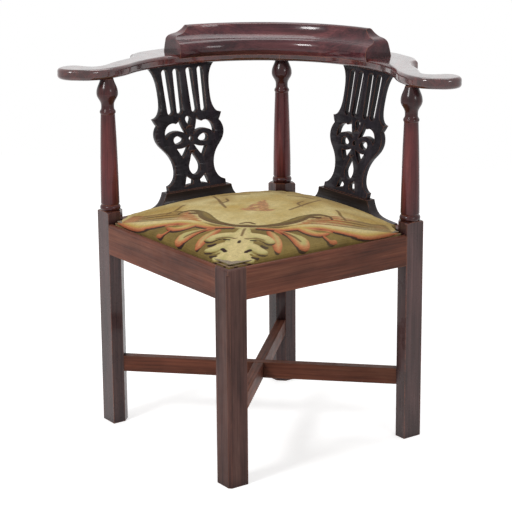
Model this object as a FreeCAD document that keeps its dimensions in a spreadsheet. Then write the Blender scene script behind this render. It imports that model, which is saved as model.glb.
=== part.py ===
import FreeCAD, Part
import math
import os
import re
import Sketcher
from types import SimpleNamespace
from FreeCAD import Placement, Rotation, Vector

# A corner chair in mahogany: a square seat set diagonally, three turned posts, two pierced
# splats, a horseshoe arm in two halves under a crest rail, and a loose drop-in seat.
# Millimetres, +Z up. The front leg points to -Y and the back post to +Y.
# The origin is on the floor under the middle of the chair's bounding box.

doc = FreeCAD.newDocument("corner_chair")

SIZES = (
    # legs and the square of seat rails
    ("seat_side", 467, "outside of the seat square, measured along one rail"),
    ("leg_width", 42, "side of a square leg"),
    ("inner_chamfer", 15, "chamfer on the corner of each leg that faces the seat's middle"),
    ("front_chamfer", 5, "stopped chamfer on the outer corner of the front leg"),
    ("chamfer_margin", 10, "how far below the rail's top that chamfer stops"),
    ("rail_bottom", 363, "height of a seat rail's lower edge"),
    ("rail_height", 62, "height of a seat rail"),
    ("rail_thickness", 26, "thickness of a seat rail"),
    ("lip_width", 8, "lip left outside the seat rebate"),
    ("rebate_depth", 16, "depth of the seat rebate below the rail's top"),
    ("lip_round", 4, "rounded moulding on the top outer edge of the front rails"),
    ("tenon_length", 18, "length of a rail tenon"),
    ("tenon_thickness", 10, "thickness of a rail tenon"),
    ("tenon_shoulder", 9, "shoulder above and below a rail tenon"),
    ("fit_gap", 0.15, "clearance round every tenon and screw"),
    # crossed stretchers
    ("stretcher_bottom", 109, "height of a stretcher's lower edge"),
    ("stretcher_height", 33, "height of a stretcher"),
    ("stretcher_thickness", 20, "thickness of a stretcher"),
    ("stretcher_tenon", 14, "length of a stretcher tenon"),
    ("stretcher_tenon_thickness", 9, "thickness of a stretcher tenon"),
    # turned posts
    ("column_shift", 2, "how far the turning's axis lies outside the leg's middle, each way"),
    ("shoulder_rise", 24, "how far the square block of a post rises above the rails"),
    ("shoulder_round", 12, "rounding of the block's shoulders"),
    ("collar_height", 12, "height of the round collar on the block"),
    ("collar_radius", 20.8, "radius of that collar"),
    ("shaft_bottom_radius", 19, "shaft radius at its foot"),
    ("shaft_top_radius", 14.5, "shaft radius at its head"),
    ("astragal_drop", 63, "distance of the small ring's top below the arm"),
    ("astragal_height", 8, "height of that ring"),
    ("astragal_radius", 16, "radius of that ring"),
    ("neck_drop", 54, "distance of the narrow neck below the arm"),
    ("neck_radius", 12.8, "radius of the neck"),
    ("bulb_drop", 29, "distance of the widest part of the bulb below the arm"),
    ("bulb_radius", 21.5, "widest radius of the bulb"),
    ("post_top_radius", 13, "radius of the post under the arm"),
    ("post_tenon_radius", 10, "radius of the round tenon in the arm"),
    ("post_tenon_length", 13, "length of that tenon"),
    # arms
    ("arm_bottom", 717, "height of the arms' underside"),
    ("arm_thickness", 22, "thickness of an arm"),
    ("arm_inset", 33, "distance of the horseshoe's inner edge inside the circle of the posts"),
    ("arm_width", 105, "width of the broad part behind"),
    ("wrist_width", 50, "width of the narrow wrist"),
    ("handhold_length", 80, "how far a hand-hold's tip lies outside the wrist"),
    ("handhold_depth", 66, "depth of a hand-hold from front to back"),
    ("arm_edge_round", 7, "rounding of an arm's edges"),
    # crest rail
    ("crest_inlet", 8, "how deep the crest is let into the arms"),
    ("crest_bulge_height", 34, "height of the crest's bulge, from its foot to the line above it"),
    ("crest_hollow_height", 30, "height of the hollow above that line"),
    ("crest_depth", 67, "depth of the crest at its foot"),
    ("crest_bulge", 5, "how far the crest's bulge stands in front of the arm"),
    ("crest_half_angle", 42.5, "half of the angle between the middles of the crest's ends"),
    ("crest_end_run", 38, "length of the stepped moulding at each end of the crest"),
    ("screw_radius", 2.3, "radius of a crest screw's shank"),
    ("screw_head_radius", 4.5, "radius of its head"),
    ("screw_length", 40, "length of a crest screw"),
    ("screw_inset", 48, "distance of the crest screws from the horseshoe's inner edge"),
    # splats and their shoes
    ("splat_thickness", 11, "thickness of a splat"),
    ("splat_width", 168, "greatest width of a splat"),
    ("splat_foot_inset", 9.5, "distance of a splat's foot inside the seat square"),
    ("splat_head_inset", 11, "distance of a splat's head from the horseshoe's inner edge"),
    ("splat_bow", 1.8, "how far a splat's middle bows back"),
    ("splat_slot_width", 14.5, "width of the four slots between a splat's bars"),
    ("splat_tenon_thickness", 7, "thickness of a splat's tenons"),
    ("splat_foot_tenon", 20, "length of a splat's lower tenon"),
    ("splat_head_tenon", 10, "length of a splat's upper tenon"),
    ("splat_tenon_width", 120, "width of a splat's tenons"),
    ("shoe_height", 38, "height of a shoe"),
    ("shoe_top_length", 162, "length of a shoe's flat top"),
    ("shoe_length", 310, "length of a shoe along the rail"),
    ("shoe_fillet", 5, "height of the square band along a shoe's upper edge"),
    # drop-in seat
    ("seat_gap", 2.5, "clearance between the drop-in seat and its rebate"),
    ("seat_rest", 0.3, "clearance under the drop-in seat"),
    ("cover_thickness", 1.8, "thickness of the needlework with its lining"),
    ("cover_slack", 0.2, "clearance between the cover and what it holds"),
    ("member_width", 45, "width of a member of the drop-in seat's frame"),
    ("member_thickness", 16, "thickness of a member"),
    ("web_width", 52, "width of a strip of webbing"),
    ("web_thickness", 1.5, "thickness of a strip of webbing"),
    ("web_pitch", 92, "distance between strips of webbing"),
    ("web_inset", 15, "distance of the webbing's ends from the seat's edge"),
    ("sacking_thickness", 1, "thickness of the sacking over the webbing"),
    ("seat_edge_height", 9, "height of the cushion's edge above the members"),
    ("seat_crown", 24, "rise of the cushion's middle above its corners"),
    ("hem_width", 30, "width of the hem turned under the drop-in seat"),
    ("ledger_width", 18, "width of the ledger strips inside the back rails"),
    ("ledger_height", 20, "height of those strips"),
    ("block_leg", 64, "side of a glued corner block along the rail"),
    ("block_height", 24, "height of a corner block"),
    ("tack_inset", 23, "distance of the tacks from the drop-in seat's edge"),
    ("tack_pitch", 75, "distance between tacks"),
    ("tack_head_radius", 3.5, "radius of a tack's head"),
    ("tack_radius", 0.8, "radius of a tack's shank"),
    ("tack_length", 10, "length of a tack"),
)

sheet = doc.addObject("Spreadsheet::Sheet", "Sizes")
for row, (word, value, note) in enumerate(SIZES, start=1):
    sheet.set(f"A{row}", note)
    sheet.set(f"B{row}", str(value))
    sheet.setAlias(f"B{row}", word)
doc.recompute()
s = SimpleNamespace(**{word: float(sheet.get(word)) for word, _, _ in SIZES})

ALIAS = re.compile(r"\b(" + "|".join(word for word, _, _ in SIZES) + r")\b")
ROOT2 = math.sqrt(2)
UP = Vector(0, 0, 1)

# Lengths that follow from the sheet, for the pieces that are drawn with curves
rail_top = s.rail_bottom + s.rail_height
half_side = s.seat_side / 2
axis_offset = half_side - s.leg_width / 2 + s.column_shift
rail_inner = half_side - s.rail_thickness
shoulder_top = rail_top + s.shoulder_rise
shoe_top = rail_top + s.shoe_height
arm_inner = axis_offset * ROOT2 - s.arm_inset
arm_outer = arm_inner + s.arm_width
arm_top = s.arm_bottom + s.arm_thickness
splat_foot = half_side - s.splat_foot_inset
splat_head = arm_inner + s.splat_head_inset
crest_bottom = arm_top - s.crest_inlet
crest_break = crest_bottom + s.crest_bulge_height
crest_top = crest_break + s.crest_hollow_height
middle_y = (half_side * ROOT2 - arm_outer) / 2

# The same as expressions, for the pieces that are bound to the sheet
RAIL_TOP = "(rail_bottom + rail_height)"
REBATE_FLOOR = "(rail_bottom + rail_height - rebate_depth)"
LEG_FACE = "(seat_side / 2 - leg_width)"
RAIL_INNER = "(seat_side / 2 - rail_thickness)"
LEG_OUTER = "(leg_width / 2 - column_shift)"
LEG_INNER = "(leg_width / 2 + column_shift)"
SHOULDER_TOP = "(rail_bottom + rail_height + shoulder_rise)"
SHOE_TOP = "(rail_bottom + rail_height + shoe_height)"
ARM_INNER = "((seat_side / 2 - leg_width / 2 + column_shift) * sqrt(2) - arm_inset)"
SPLAT_FOOT = "(seat_side / 2 - splat_foot_inset)"
SPLAT_HEAD = f"({ARM_INNER} + splat_head_inset)"
SEAT_BOTTOM = "(rail_bottom + rail_height - rebate_depth + seat_rest)"
MEMBER_BOTTOM = "(rail_bottom + rail_height - rebate_depth + seat_rest + cover_thickness)"

# The turns about the chair's axis that bring a corner piece or a rail to its side
CORNER_TURNS = {"front": 225, "right": -45, "back": 45, "left": 135}
RAIL_TURNS = {"front_left": 135, "front_right": -135, "back_left": 45, "back_right": -45}
nodes = []


def bind(item, prop, text):
    """Tie a property to an expression written with the sheet's words."""
    item.setExpression(prop, ALIAS.sub(r"Sizes.\1", text))


def block(name, corner, size):
    """A rectangular block whose corner and size are expressions."""
    item = doc.addObject("Part::Box", name)
    for prop, text in zip(("Length", "Width", "Height"), size):
        bind(item, prop, text)
    for axis, text in zip("xyz", corner):
        bind(item, "Placement.Base." + axis, text)
    return item


def rod(name, centre, radius, height):
    """An upright round rod whose place and size are expressions."""
    item = doc.addObject("Part::Cylinder", name)
    bind(item, "Radius", radius)
    bind(item, "Height", height)
    for axis, text in zip("xyz", centre):
        bind(item, "Placement.Base." + axis, text)
    return item


def drawn(name, shape):
    """A form that is drawn with curves."""
    item = doc.addObject("Part::Feature", name)
    item.Shape = shape
    return item


def join(name, items):
    item = doc.addObject("Part::MultiFuse", name)
    item.Shapes = items
    item.Refine = True
    return item


def common(name, items):
    item = doc.addObject("Part::MultiCommon", name)
    item.Shapes = items
    return item


def group(name, items, turn=0):
    """Pieces kept apart in one compound, turned about the vertical axis."""
    item = doc.addObject("Part::Compound", name)
    item.Links = items
    item.Placement = Placement(Vector(), Rotation(UP, turn))
    return item


def cut(name, base, tools):
    item = doc.addObject("Part::Cut", name)
    item.Base = base
    item.Tool = tools[0] if len(tools) == 1 else group(name + "_cutters", tools)
    return item


def mirrored(name, source):
    """The piece seen in a mirror that stands on the chair's middle plane."""
    item = doc.addObject("Part::Mirroring", name)
    item.Source = source
    item.Normal = Vector(1, 0, 0)
    return item


def node(item, label, turn=0, offset=Vector()):
    """Name a finished piece and turn it into its place round the chair's middle."""
    spin = Rotation(UP, turn)
    item.Placement = Placement(Vector(0, middle_y, 0) + spin.multVec(offset), spin)
    item.Label = label
    nodes.append(item)
    return item


def outline_body(name, corners, base, height):
    """A body padded from a polygon whose corners are bound to the sheet."""
    body = doc.addObject("PartDesign::Body", name)
    sketch = body.newObject("Sketcher::SketchObject", name + "_outline")
    plane = [item for item in body.Origin.OriginFeatures if item.Role == "XY_Plane"][0]
    sketch.AttachmentSupport = (plane, "")
    sketch.MapMode = "FlatFace"
    count = len(corners)
    turns = [math.tau * i / count for i in range(count)]
    ring = [Vector(half_side * math.cos(a), half_side * math.sin(a), 0) for a in turns]
    for i in range(count):
        sketch.addGeometry(Part.LineSegment(ring[i], ring[(i + 1) % count]))
    for i in range(count):
        sketch.addConstraint(Sketcher.Constraint("Coincident", i, 2, (i + 1) % count, 1))
    for i, corner in enumerate(corners):
        for kind, text, start in zip(("DistanceX", "DistanceY"), corner, ring[i]):
            number = sketch.addConstraint(Sketcher.Constraint(kind, -1, 1, i, 1, start))
            bind(sketch, f"Constraints[{number}]", text)
    pad = body.newObject("PartDesign::Pad", name + "_pad")
    pad.Profile = sketch
    bind(pad, "Length", height)
    bind(body, "Placement.Base.z", base)
    body.Tip = pad
    return body


def polar(radius, degrees):
    """A point of the plan, its angle counted from +X towards +Y."""
    angle = math.radians(degrees)
    return Vector(radius * math.cos(angle), radius * math.sin(angle), 0)


def line(*points):
    return [Part.makeLine(a, b) for a, b in zip(points, points[1:])]


def arc(start, through, end):
    return [Part.Arc(start, through, end).toShape()]


def smooth(*points, ends=None):
    """A curve through points, with its two end directions where they matter."""
    curve = Part.BSplineCurve()
    if ends:
        curve.interpolate(Points=list(points), InitialTangent=ends[0], FinalTangent=ends[1])
    else:
        curve.interpolate(list(points))
    return [curve.toShape()]


def flow(*stations):
    """A smooth plan curve through stations, each a point and the direction of travel there."""
    edges = []
    for (start, leave), (end, arrive) in zip(stations, stations[1:]):
        reach = start.distanceToPoint(end) * 0.36
        curve = Part.BezierCurve()
        curve.setPoles([start, start + polar(reach, leave), end - polar(reach, arrive), end])
        edges.append(curve.toShape())
    return edges


def face(edges):
    return Part.Face(Part.Wire(Part.__sortEdges__(edges)))


# Legs and posts. Each is drawn with its turning on the local axis and its two outer faces
# towards +X and +Y, so that the corner between them points away from the chair's middle.

LEG_SECTION = (
    (LEG_OUTER, "-" + LEG_INNER),
    (LEG_OUTER, LEG_OUTER),
    ("-" + LEG_INNER, LEG_OUTER),
    ("-" + LEG_INNER, f"inner_chamfer - {LEG_INNER}"),
    (f"inner_chamfer - {LEG_INNER}", "-" + LEG_INNER),
)


def leg_mortises(name):
    """The sockets for two rail tenons and for one stretcher tenon."""
    across = "leg_width / 2 - column_shift - rail_thickness / 2 - tenon_thickness / 2 - fit_gap"
    low = "rail_bottom + tenon_shoulder - fit_gap"
    depth, width = "tenon_length + fit_gap", "tenon_thickness + 2 * fit_gap"
    tall = "rail_height - rebate_depth - 2 * tenon_shoulder + 2 * fit_gap"
    one = block(name + "_mortise_x", ("-" + LEG_INNER, across, low), (depth, width, tall))
    two = block(name + "_mortise_y", (across, "-" + LEG_INNER, low), (width, depth, tall))
    radial = block(
        name + "_mortise_stretcher",
        ("(inner_chamfer / 2 - leg_width / 2 - column_shift) * sqrt(2)",
         "-stretcher_tenon_thickness / 2 - fit_gap",
         "stretcher_bottom + tenon_shoulder / 2 - fit_gap"),
        ("stretcher_tenon + fit_gap", "stretcher_tenon_thickness + 2 * fit_gap",
         "stretcher_height - tenon_shoulder + 2 * fit_gap"))
    return [one, two, group(name + "_radial", [radial], 45)]


def front_leg():
    shaft = outline_body("front_leg_stock", LEG_SECTION, "0", RAIL_TOP)
    inside = f"leg_width + {LEG_OUTER} - lip_width"
    rebate = block("front_leg_rebate", ("-leg_width", "-leg_width", REBATE_FLOOR),
                   (inside, inside, "leg_width"))
    bevel = block("front_leg_bevel",
                  (f"{LEG_OUTER} * sqrt(2) - front_chamfer / sqrt(2)", "-leg_width", "0"),
                  ("leg_width", "2 * leg_width", f"{RAIL_TOP} - chamfer_margin"))
    tools = [rebate, group("front_leg_radial_bevel", [bevel], 45)]
    leg = cut("front_leg_shaped", shaft, tools + leg_mortises("front_leg"))
    offset = Vector(axis_offset, axis_offset, 0)
    node(rounded_lip("front_leg_rounded", leg), "front_leg", CORNER_TURNS["front"], offset)


def rounded_lip(name, item):
    """Round the upper outer edges of a piece that lies on the +X or +Y side."""
    doc.recompute()
    box = item.Shape.BoundBox
    edges = []
    for number, edge in enumerate(item.Shape.Edges, start=1):
        at = edge.BoundBox
        level = at.ZMin > box.ZMax - s.fit_gap
        outside = at.XMin > box.XMax - s.fit_gap or at.YMin > box.YMax - s.fit_gap
        if level and outside and edge.Length > s.lip_width + s.fit_gap:
            edges.append((number, s.lip_round, s.lip_round))
    fillet = doc.addObject("Part::Fillet", name)
    fillet.Base = item
    fillet.Edges = edges
    return fillet


def shoulder_ring():
    """What the lathe takes off the corners of the block below the collar."""
    low, top = shoulder_top - s.shoulder_round, shoulder_top
    inner, outer, far = s.collar_radius, s.collar_radius + s.shoulder_round, 2 * s.leg_width
    bend = s.shoulder_round * (1 - 1 / ROOT2)
    crown, foot = Vector(inner, 0, top), Vector(outer, 0, low)
    edges = arc(crown, Vector(outer - bend, 0, top - bend), foot)
    above = top + s.shoulder_round
    edges += line(foot, Vector(far, 0, low), Vector(far, 0, above), Vector(inner, 0, above), crown)
    return face(edges).revolve(Vector(), UP, 360)


def column():
    """The turned part of a post, from inside the block to the end of its round tenon."""
    def at(radius, height):
        return Vector(radius, 0, height)
    start = shoulder_top - s.shoulder_round / 2
    bead = s.collar_height / 4
    collar_top = shoulder_top + s.collar_height
    quirk = s.collar_radius - bead
    ring_top = s.arm_bottom - s.astragal_drop
    ring_low = ring_top - s.astragal_height
    ring_in = s.astragal_radius - s.astragal_height / 5
    shaft_low, shaft_high = collar_top + bead, ring_low - s.astragal_height / 2
    entasis = (s.shaft_bottom_radius + s.shaft_top_radius) / 2 + s.astragal_height / 12
    tenon_top = s.arm_bottom + s.post_tenon_length
    edges = line(at(0, start), at(quirk, start), at(quirk, shoulder_top))
    edges += arc(at(quirk, shoulder_top),
                 at(s.collar_radius, shoulder_top + s.collar_height / 2), at(quirk, collar_top))
    edges += line(at(quirk, collar_top), at(s.shaft_bottom_radius, shaft_low))
    edges += arc(at(s.shaft_bottom_radius, shaft_low),
                 at(entasis, (shaft_low + shaft_high) / 2), at(s.shaft_top_radius, shaft_high))
    edges += line(at(s.shaft_top_radius, shaft_high), at(ring_in, ring_low))
    edges += arc(at(ring_in, ring_low),
                 at(s.astragal_radius, ring_top - s.astragal_height / 2), at(ring_in, ring_top))
    waist = at(s.neck_radius, s.arm_bottom - s.neck_drop)
    bulb = at(s.bulb_radius, s.arm_bottom - s.bulb_drop)
    top = at(s.post_top_radius, s.arm_bottom)
    edges += smooth(at(ring_in, ring_top), waist, ends=(Vector(-1, 0, 1), UP))
    edges += smooth(waist, bulb, ends=(UP, UP))
    edges += smooth(bulb, top, ends=(UP, Vector(-0.2, 0, 1)))
    edges += line(top, at(s.post_tenon_radius, s.arm_bottom), at(s.post_tenon_radius, tenon_top),
                  at(0, tenon_top), at(0, start))
    return face(edges).revolve(Vector(), UP, 360)


def turned_post(side):
    name = side + "_post"
    stock = outline_body(name + "_stock", LEG_SECTION, "0", SHOULDER_TOP)
    square = cut(name + "_square", stock, [drawn(name + "_ring", shoulder_ring())])
    whole = join(name + "_whole", [square, drawn(name + "_column", column())])
    post = cut(name + "_shaped", whole, leg_mortises(name))
    node(post, name, CORNER_TURNS[side], Vector(axis_offset, axis_offset, 0))


# Seat rails, shoes, splats and ledgers. Each is drawn on the back side of the square, with
# its length along X and its outer face towards +Y.

def rail_blank(name):
    """A rail between two legs, with its two tenons."""
    bar = block(name + "_bar", ("-" + LEG_FACE, RAIL_INNER, "rail_bottom"),
                (f"2 * {LEG_FACE}", "rail_thickness", "rail_height"))
    tenon = block(name + "_tenons",
                  (f"-{LEG_FACE} - tenon_length",
                   f"{RAIL_INNER} + rail_thickness / 2 - tenon_thickness / 2",
                   "rail_bottom + tenon_shoulder"),
                  (f"2 * {LEG_FACE} + 2 * tenon_length", "tenon_thickness",
                   "rail_height - rebate_depth - 2 * tenon_shoulder"))
    return join(name + "_blank", [bar, tenon])


def front_rail(side):
    name = side + "_rail"
    rebate = block(name + "_rebate", ("-seat_side / 2", f"{RAIL_INNER} - rail_thickness", REBATE_FLOOR),
                   ("seat_side", "2 * rail_thickness - lip_width", "rail_thickness"))
    rail = cut(name + "_rebated", rail_blank(name), [rebate])
    node(rounded_lip(name + "_rounded", rail), name, RAIL_TURNS[side])


def back_rail(side):
    name = side + "_rail"
    node(cut(name + "_bored", rail_blank(name), ledger_screws(name, "fit_gap")),
         name, RAIL_TURNS[side])


def ledger_screws(name, play):
    """Three level screws through a ledger into its rail, their heads let into the ledger."""
    length = "ledger_width + rail_thickness / 2"
    screws = []
    for number in (-1, 0, 1):
        place = (f"{number} * shoe_length / 3", f"{RAIL_INNER} - ledger_width",
                 f"{REBATE_FLOOR} - ledger_height / 2")
        shank = rod(f"{name}_shank_{number + 1}", place, f"screw_radius + {play}",
                    f"{length} + {play}")
        head = rod(f"{name}_head_{number + 1}", place, f"screw_head_radius + {play}",
                   f"screw_radius + {play}")
        for item in (shank, head):
            item.Placement.Rotation = Rotation(Vector(1, 0, 0), -90)
        screws.append(join(f"{name}_screw_{number + 1}", [shank, head]))
    return screws


def ledger(side):
    """The strip screwed inside a back rail, level with the front rails' rebate."""
    name = side + "_ledger"
    reach = f"({RAIL_INNER} - ledger_width - fit_gap)"
    strip = block(name + "_strip",
                  ("-" + reach, f"{RAIL_INNER} - ledger_width", f"{REBATE_FLOOR} - ledger_height"),
                  (f"2 * {reach}", "ledger_width", "ledger_height"))
    node(cut(name + "_bored", strip, ledger_screws(name, "fit_gap")),
         name, RAIL_TURNS[side])


def all_ledger_screws():
    both = [group(side + "_screws", ledger_screws(side + "_set", "0"), RAIL_TURNS[side])
            for side in ("back_left", "back_right")]
    node(group("ledger_screw_set", both), "ledger_screws")


def shoe(side):
    """The moulded block that holds a splat's foot: a flat top, a hollow front, swept ends."""
    name = side + "_shoe"
    front = splat_foot - s.splat_thickness
    half, top_half = s.shoe_length / 2, s.shoe_top_length / 2
    foot = s.shoe_fillet + rail_top

    def across(depth, height):
        return Vector(-half, depth, height)
    band = across(front, shoe_top - s.shoe_fillet)
    toe = across(rail_inner, foot)
    hollow = across(front - s.shoe_fillet / 5, (foot + shoe_top) / 2 - s.shoe_fillet)
    section = line(toe, across(rail_inner, rail_top), across(half_side, rail_top),
                   across(half_side, shoe_top), across(front, shoe_top), band)
    section += arc(band, hollow, toe)
    long_form = face(section).extrude(Vector(s.shoe_length, 0, 0))

    def along(reach, height, way):
        return Vector(way * reach, 0, rail_top + height)
    rise = s.shoe_height
    edges = line(along(half, 0, -1), along(half, 0, 1))
    edges += line(along(top_half, rise, -1), along(top_half, rise, 1))
    for way in (-1, 1):
        tip = along(half, rise / 20, way)
        edges += line(along(half, 0, way), tip)
        edges += smooth(along(top_half, rise, way), along(top_half + rise / 9, rise * 0.68, way),
                        along(top_half + rise / 3, rise * 0.37, way),
                        along(top_half + rise * 0.85, rise * 0.15, way), tip)
    swept = face(edges).extrude(Vector(0, 2 * half_side, 0))
    mortise = block(name + "_mortise",
                    ("-splat_tenon_width / 2 - fit_gap",
                     f"{SPLAT_FOOT} - splat_tenon_thickness / 2 - fit_gap",
                     f"{SHOE_TOP} - splat_foot_tenon - fit_gap"),
                    ("splat_tenon_width + 2 * fit_gap", "splat_tenon_thickness + 2 * fit_gap",
                     "shoe_height"))
    whole = common(name + "_whole", [drawn(name + "_section", long_form),
                                     drawn(name + "_elevation", swept)])
    node(cut(name + "_bored", whole, [mortise]), name, RAIL_TURNS[side])


# A splat's front is drawn on a grid, 84 squares to each side of its middle and 254 squares
# up from the shoe to the arm. The sheet's width and heights give the squares their size.
SQUARES_ASIDE = 84
SQUARES_UP = 254


def splat_front():
    """The pierced outline: five bars, a ribbon tied in a bow, and crossing ends below it."""
    wide = s.splat_width / 2 / SQUARES_ASIDE
    tall = (s.arm_bottom - shoe_top) / SQUARES_UP
    depth = 2 * half_side

    def at(aside, up, way=1):
        return Vector(way * aside * wide, 0, shoe_top + up * tall)

    rim = line(at(71, 0, -1), at(71, 0)) + line(at(82, SQUARES_UP, -1), at(82, SQUARES_UP))
    for way in (-1, 1):
        tip, notch, heel = at(84, 149, way), at(75.5, 134, way), at(71, 11, way)
        rim += smooth(at(82, SQUARES_UP, way), at(70, 240, way), at(63, 217, way),
                      at(61.5, 192, way), at(64, 167, way), at(71, 154.5, way), tip)
        rim += smooth(tip, at(80, 141, way), notch)
        rim += smooth(notch, at(82, 124, way), at(84, 112, way), at(79, 97, way),
                      at(61, 76.5, way), at(51, 59, way), at(48, 43, way), at(51, 27, way),
                      at(59, 16.5, way), heel)
        rim += line(heel, at(71, 0, way))
    board = face(rim).extrude(Vector(0, depth, 0))

    holes = [smooth_ring(at(0, 148), at(7.2, 142), at(4, 134), at(0, 128), at(-4, 134), at(-7.2, 142)),
             smooth_ring(at(0, 73), at(9, 59), at(14, 43), at(8, 31), at(0, 28), at(-8, 31),
                         at(-14, 43), at(-9, 59)),
             [Part.makeCircle(s.splat_slot_width / 3, at(0, 102), Vector(0, 1, 0))]]
    for way in (-1, 1):
        holes.append(slot_ring(at(44, 247, way), at(41, 154, way)))
        holes.append(slot_ring(at(16, 247, way), at(18.5, 154, way)))
        tip, fork, far, near = at(21, 147, way), at(32, 135, way), at(60, 107, way), at(8, 111, way)
        holes.append(smooth(tip, at(25, 139, way), fork)
                     + smooth(fork, at(46, 136, way), at(57, 128, way), at(61, 118, way), far)
                     + smooth(far, at(50, 116, way), at(35, 120, way), at(20, 118, way), near)
                     + smooth(near, at(15.5, 127, way), tip))
        holes.append(smooth_ring(at(18, 102, way), at(26, 108, way), at(36, 109.5, way),
                                 at(42, 104, way), at(40, 96, way), at(30, 94, way)))
        left, right, low = at(6, 90, way), at(37, 84.5, way), at(25, 64, way)
        holes.append(smooth(left, at(20, 85, way), right) + line(right, low)
                     + smooth(low, at(14, 77, way), left))
        apex, inner, heel, toe = at(23, 28, way), at(8, 17, way), at(10, 10, way), at(31, 6, way)
        holes.append(smooth(apex, at(14, 21, way), inner) + line(inner, heel)
                     + smooth(heel, at(20, 9.5, way), toe) + line(toe, apex))
    for ring in holes:
        board = board.cut(face(ring).extrude(Vector(0, depth, 0)))
    return board


def smooth_ring(*points):
    """A closed smooth curve through points."""
    curve = Part.BSplineCurve()
    curve.interpolate(Points=list(points), PeriodicFlag=True)
    return [curve.toShape()]


def slot_ring(top, low):
    """A slot between two bars, round at both ends."""
    half = s.splat_slot_width / 2
    run = (top - low).normalize()
    side = Vector(run.z, 0, -run.x) * half
    high, deep = top - run * half, low + run * half
    return (line(high + side, deep + side) + line(high - side, deep - side)
            + arc(high + side, top, high - side) + arc(deep + side, low, deep - side))


def splat_side():
    """The board seen from its edge: it leans out from the shoe to the arm, a little bowed."""
    half = s.splat_thickness / 2
    middle = (splat_foot + splat_head) / 2 + s.splat_bow
    level = (shoe_top + s.arm_bottom) / 2

    def at(depth, height):
        return Vector(-s.splat_width, depth, height)
    edges = []
    for way in (-half, half):
        edges += arc(at(splat_foot + way, shoe_top), at(middle + way, level),
                     at(splat_head + way, s.arm_bottom))
    for depth, height in ((splat_foot, shoe_top), (splat_head, s.arm_bottom)):
        edges += line(at(depth - half, height), at(depth + half, height))
    return face(edges).extrude(Vector(2 * s.splat_width, 0, 0))


def splat(side):
    name = side + "_splat"
    board = common(name + "_board", [drawn(name + "_front", splat_front()),
                                     drawn(name + "_side", splat_side())])
    foot = block(name + "_foot_tenon",
                 ("-splat_tenon_width / 2", f"{SPLAT_FOOT} - splat_tenon_thickness / 2",
                  f"{SHOE_TOP} - splat_foot_tenon"),
                 ("splat_tenon_width", "splat_tenon_thickness", "splat_foot_tenon"))
    head = block(name + "_head_tenon",
                 ("-splat_tenon_width / 2", f"{SPLAT_HEAD} - splat_tenon_thickness / 2",
                  "arm_bottom"),
                 ("splat_tenon_width", "splat_tenon_thickness", "splat_head_tenon"))
    node(join(name + "_whole", [board, foot, head]), name, RAIL_TURNS[side])


# Stretchers, corner blocks

def stretcher(name, over, turn):
    """One of the two crossed stretchers; the upper half of its middle is left or cut away."""
    half = "((seat_side / 2 - leg_width + inner_chamfer / 2) * sqrt(2))"
    bar = block(name + "_bar", ("-" + half, "-stretcher_thickness / 2", "stretcher_bottom"),
                (f"2 * {half}", "stretcher_thickness", "stretcher_height"))
    tenons = block(name + "_tenons",
                   (f"-{half} - stretcher_tenon", "-stretcher_tenon_thickness / 2",
                    "stretcher_bottom + tenon_shoulder / 2"),
                   (f"2 * {half} + 2 * stretcher_tenon", "stretcher_tenon_thickness",
                    "stretcher_height - tenon_shoulder"))
    low = "stretcher_bottom" if over else "stretcher_bottom + stretcher_height / 2"
    lap = block(name + "_lap",
                ("-stretcher_thickness / 2 - fit_gap", "-stretcher_thickness", low),
                ("stretcher_thickness + 2 * fit_gap", "2 * stretcher_thickness",
                 "stretcher_height / 2"))
    node(cut(name + "_lapped", join(name + "_blank", [bar, tenons]), [lap]), name, turn)


def corner_block(side):
    """A block glued under the seat into the angle of two rails, cut round the leg."""
    name = f"{side}_corner_block"
    low = f"{REBATE_FLOOR} - ledger_height - block_height"
    point = f"({RAIL_INNER} - block_leg)"
    wedge = outline_body(name + "_wedge", ((RAIL_INNER, point), (RAIL_INNER, RAIL_INNER),
                                           (point, RAIL_INNER)), low, "block_height")
    corner = outline_body(
        name + "_leg",
        ((RAIL_INNER + " + leg_width", LEG_FACE), (RAIL_INNER + " + leg_width",) * 2,
         (LEG_FACE, RAIL_INNER + " + leg_width"), (LEG_FACE, f"{LEG_FACE} + inner_chamfer"),
         (f"{LEG_FACE} + inner_chamfer", LEG_FACE)), low, "block_height")
    node(cut(name + "_fitted", wedge, [corner]), name, CORNER_TURNS[side])


# Arms and crest rail

def arm_plan():
    """The right half of the horseshoe: broad behind, an ear, a wrist and a hand-hold."""
    inner, outer, wrist = arm_inner, arm_outer, arm_inner + s.wrist_width
    length, depth = s.handhold_length, s.handhold_depth
    swell = outer - wrist
    bend, thin, turn, grip = 50, 22, 9, 12
    ear = Vector(wrist - swell * 0.36, depth * 2.73, 0)
    edges = line(polar(inner, 90), polar(outer, 90))
    edges += arc(polar(outer, 90), polar(outer, (90 + bend) / 2), polar(outer, bend))
    edges += flow((polar(outer, bend), bend - 90), (polar(outer - swell * 0.15, 39), -55), (ear, -80))
    edges += flow((ear, -120), (polar(wrist, thin), thin - 90))
    edges += arc(polar(wrist, thin), polar(wrist, (thin + turn) / 2), polar(wrist, turn))
    edges += flow(
        (polar(wrist, turn), turn - 90),
        (Vector(wrist + length * 0.23, depth * 0.21, 0), 0),
        (Vector(wrist + length * 0.66, depth * 0.35, 0), -4),
        (Vector(wrist + length, -depth / 6, 0), -90),
        (Vector(wrist + length * 0.54, -depth * 0.65, 0), 180),
        (Vector(wrist, -depth * 0.54, 0), 148),
        (Vector(inner + s.wrist_width * 0.23, depth * 0.15, 0), 118),
        (polar(inner, grip), grip + 90))
    edges += arc(polar(inner, grip), polar(inner, (90 + grip) / 2), polar(inner, 90))
    return face(edges)


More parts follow.
